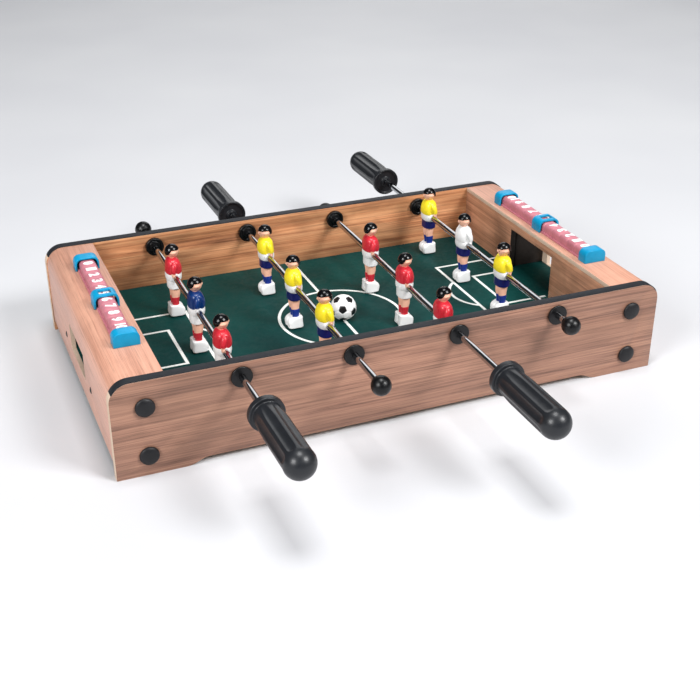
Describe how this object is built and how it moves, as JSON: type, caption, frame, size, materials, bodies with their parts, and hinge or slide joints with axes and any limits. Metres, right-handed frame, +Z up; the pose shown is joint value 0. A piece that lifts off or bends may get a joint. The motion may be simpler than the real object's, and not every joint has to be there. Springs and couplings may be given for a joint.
{
  "type": "foosball table",
  "caption": "Table-top foosball game: a shallow wood-look case on feet, rods of figures that slide and turn through bushes, goals with ball outlets, sliding score counters and a ball.",
  "frame": {"origin": "on the resting plane, below the centre spot of the playing field", "axes": "+X from the left goal to the right one, +Y from the front panel to the back one, +Z up"},
  "size_m": [0.51, 0.634, 0.1055],
  "materials": {
    "panel_laminate": "printed wood-grain laminate on fibreboard, satin",
    "inner_laminate": "printed wood-grain laminate on fibreboard, satin",
    "end_laminate": "pale printed wood-grain laminate, satin",
    "edge_strip": "matt edge strip",
    "field_board": "printed green playing field on fibreboard, satin",
    "raw_timber": "plain sawn softwood",
    "dark_timber": "dark painted wood",
    "bolt_black": "moulded black bolt heads",
    "bush_plastic": "black moulded plastic",
    "rod_steel": "chrome-plated steel",
    "grip_plastic": "glossy black moulded plastic",
    "knob_plastic": "glossy black moulded plastic",
    "figure_red": "painted moulded plastic, red shirt",
    "figure_blue": "painted moulded plastic, blue shirt",
    "figure_yellow": "painted moulded plastic, yellow shirt",
    "figure_white": "painted moulded plastic, white shirt",
    "screw_steel": "plain steel",
    "score_bar": "pink moulded plastic with white numbers",
    "score_blue": "sky-blue moulded plastic",
    "ball_plastic": "white moulded plastic with black patches"
  },
  "bodies": {
    "frame": {"side_panel_front": "panel_laminate", "edge_strip_front": "edge_strip", "bushes_front": "bush_plastic", "bush_rings_front": "bush_plastic", "side_panel_back": "panel_laminate", "edge_strip_back": "edge_strip", "bushes_back": "bush_plastic", "bush_rings_back": "bush_plastic", "playing_field": "field_board", "goal_board_left": "inner_laminate", "end_cover_left": "end_laminate", "corner_block_left_front": "raw_timber", "goal_jamb_left_front": "dark_timber", "corner_block_left_back": "raw_timber", "goal_jamb_left_back": "dark_timber", "score_bar_left": "score_bar", "score_ends_left": "score_blue", "goal_board_right": "inner_laminate", "end_cover_right": "end_laminate", "corner_block_right_front": "raw_timber", "goal_jamb_right_front": "dark_timber", "corner_block_right_back": "raw_timber", "goal_jamb_right_back": "dark_timber", "score_bar_right": "score_bar", "score_ends_right": "score_blue", "frame_bolts": "bolt_black", "end_screws": "bolt_black"},
    "knob_1": {"end_knob_1": "knob_plastic"},
    "rod_1": {"rod_1": "rod_steel", "handle_1": "grip_plastic", "figure_1_front": "figure_red", "figure_1_middle": "figure_blue", "figure_1_back": "figure_red", "figure_screws_1": "screw_steel"},
    "knob_2": {"end_knob_2": "knob_plastic"},
    "rod_2": {"rod_2": "rod_steel", "handle_2": "grip_plastic", "figure_2_front": "figure_yellow", "figure_2_middle": "figure_yellow", "figure_2_back": "figure_yellow", "figure_screws_2": "screw_steel"},
    "knob_3": {"end_knob_3": "knob_plastic"},
    "rod_3": {"rod_3": "rod_steel", "handle_3": "grip_plastic", "figure_3_front": "figure_red", "figure_3_middle": "figure_red", "figure_3_back": "figure_red", "figure_screws_3": "screw_steel"},
    "knob_4": {"end_knob_4": "knob_plastic"},
    "rod_4": {"rod_4": "rod_steel", "handle_4": "grip_plastic", "figure_4_front": "figure_yellow", "figure_4_middle": "figure_white", "figure_4_back": "figure_yellow", "figure_screws_4": "screw_steel"},
    "score_slider_left": {"score_slider_left": "score_blue"},
    "score_slider_right": {"score_slider_right": "score_blue"},
    "ball": {"ball": "ball_plastic"}
  },
  "joints": [
    {"name": "rod_1_slide", "type": "slide", "parent": "frame", "child": "knob_1", "axis": [0, 1, 0], "range_m": [-0.0255, 0.0565]},
    {"name": "rod_1_spin", "type": "hinge", "parent": "knob_1", "child": "rod_1", "pos_m": [-0.147, 0, 0.0745], "axis": [0, 1, 0], "continuous": true},
    {"name": "rod_2_slide", "type": "slide", "parent": "frame", "child": "knob_2", "axis": [0, 1, 0], "range_m": [-0.038, 0.044]},
    {"name": "rod_2_spin", "type": "hinge", "parent": "knob_2", "child": "rod_2", "pos_m": [-0.049, 0, 0.0745], "axis": [0, 1, 0], "continuous": true},
    {"name": "rod_3_slide", "type": "slide", "parent": "frame", "child": "knob_3", "axis": [0, 1, 0], "range_m": [-0.003, 0.079]},
    {"name": "rod_3_spin", "type": "hinge", "parent": "knob_3", "child": "rod_3", "pos_m": [0.049, 0, 0.0745], "axis": [0, 1, 0], "continuous": true},
    {"name": "rod_4_slide", "type": "slide", "parent": "frame", "child": "knob_4", "axis": [0, 1, 0], "range_m": [-0.071, 0.011]},
    {"name": "rod_4_spin", "type": "hinge", "parent": "knob_4", "child": "rod_4", "pos_m": [0.147, 0, 0.0745], "axis": [0, 1, 0], "continuous": true},
    {"name": "score_slider_left_slide", "type": "slide", "parent": "frame", "child": "score_slider_left", "axis": [0, 1, 0], "range_m": [-0.066, 0.072]},
    {"name": "score_slider_right_slide", "type": "slide", "parent": "frame", "child": "score_slider_right", "axis": [0, 1, 0], "range_m": [-0.072, 0.066]},
    {"name": "ball_lift", "type": "slide", "parent": "frame", "child": "ball", "axis": [0, 0, 1], "range_m": [0, 0.12]}
  ]
}
